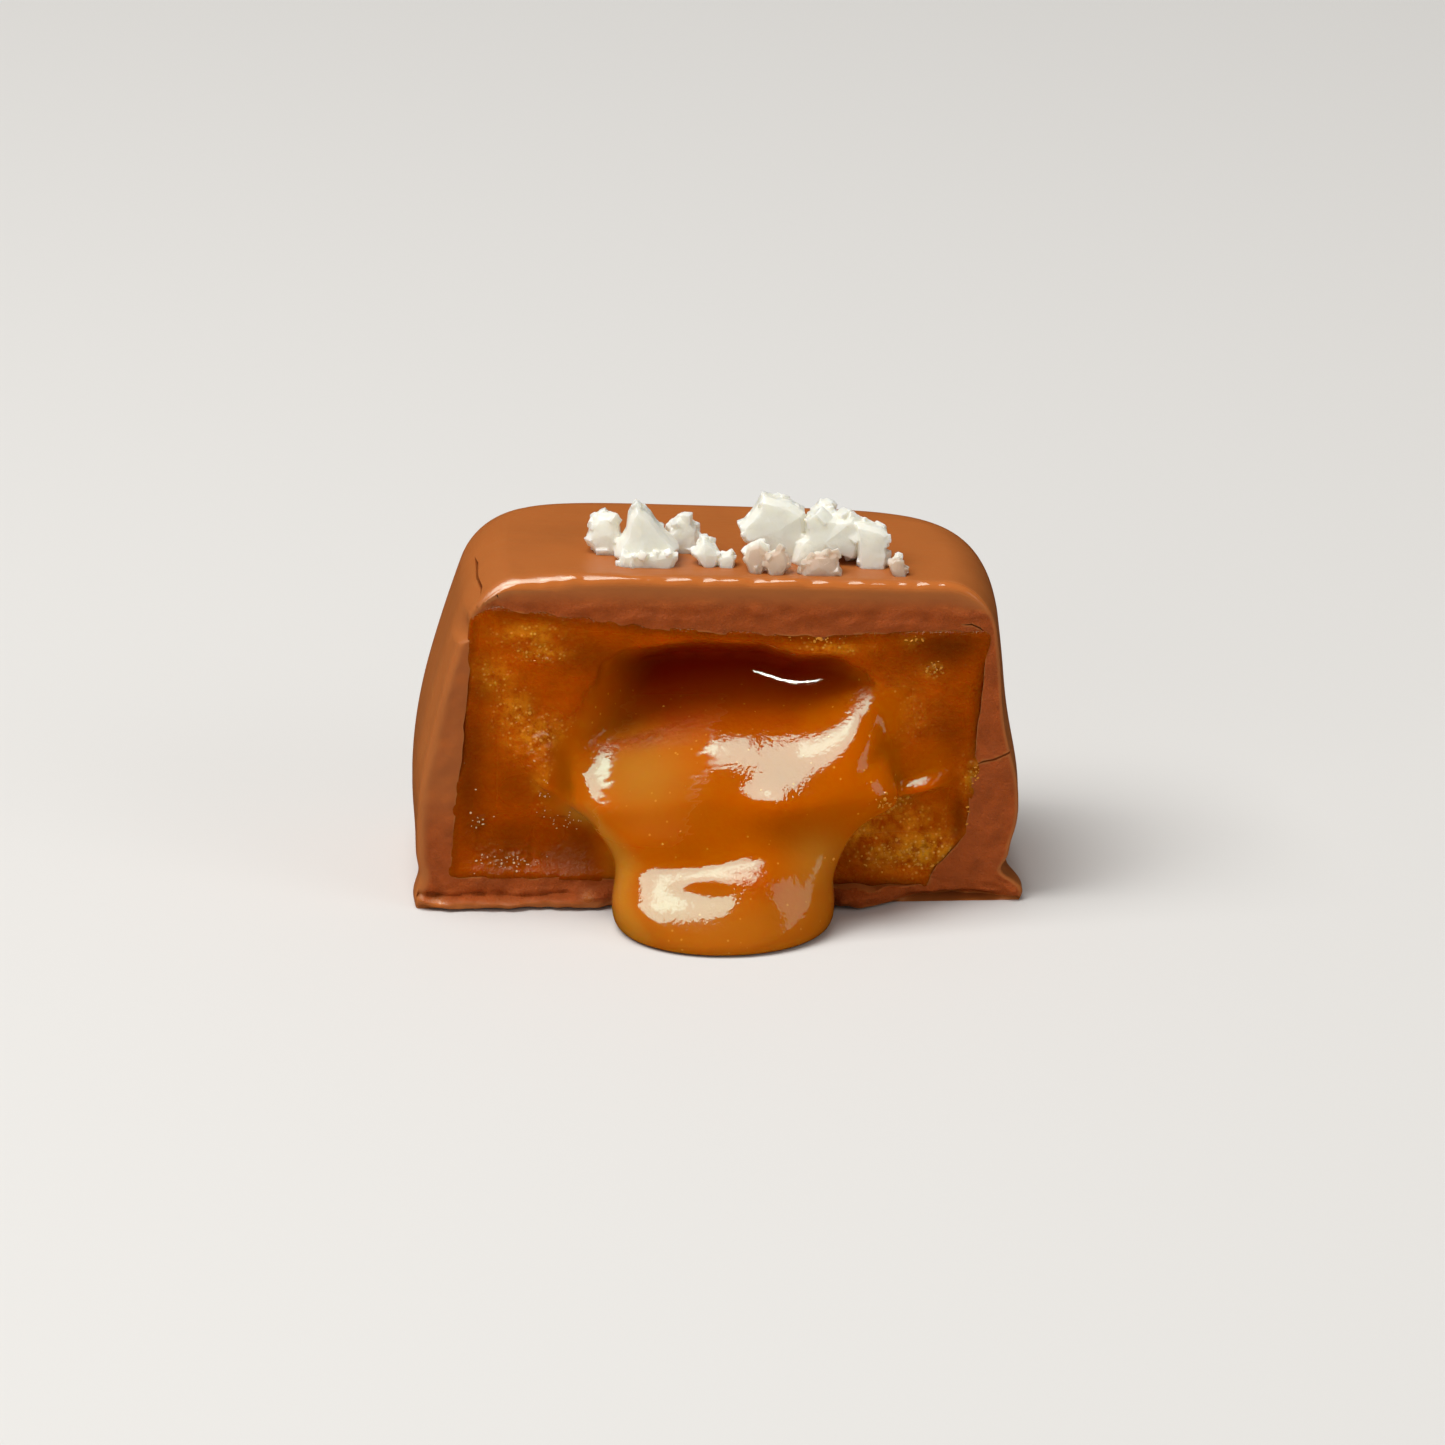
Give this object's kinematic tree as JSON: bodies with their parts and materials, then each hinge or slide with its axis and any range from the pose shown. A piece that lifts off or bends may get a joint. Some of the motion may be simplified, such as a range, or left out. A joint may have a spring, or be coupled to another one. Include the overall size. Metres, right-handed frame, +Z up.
{
  "type": "salted caramel candy",
  "caption": "Half of a chocolate-coated caramel sweet, cut open, its runny caramel pouring out on to the surface, with salt flakes on top.",
  "frame": {"origin": "on the surface that the candy stands on, under the middle of its box", "axes": "+X along the cut face, from its left to its right as seen from the front; -Y out of the cut face; +Z up"},
  "size_m": [0.0308, 0.023, 0.0211],
  "materials": {
    "milk_chocolate": "satin milk chocolate shell, rougher and darker where it is cut",
    "set_caramel": "set amber caramel with sugar grain, cut face moist",
    "runny_caramel": "wet, very glossy runny caramel"
  },
  "bodies": {
    "root": {"chocolate_coating": "milk_chocolate", "set_caramel": "set_caramel", "runny_caramel": "runny_caramel"}
  },
  "joints": []
}
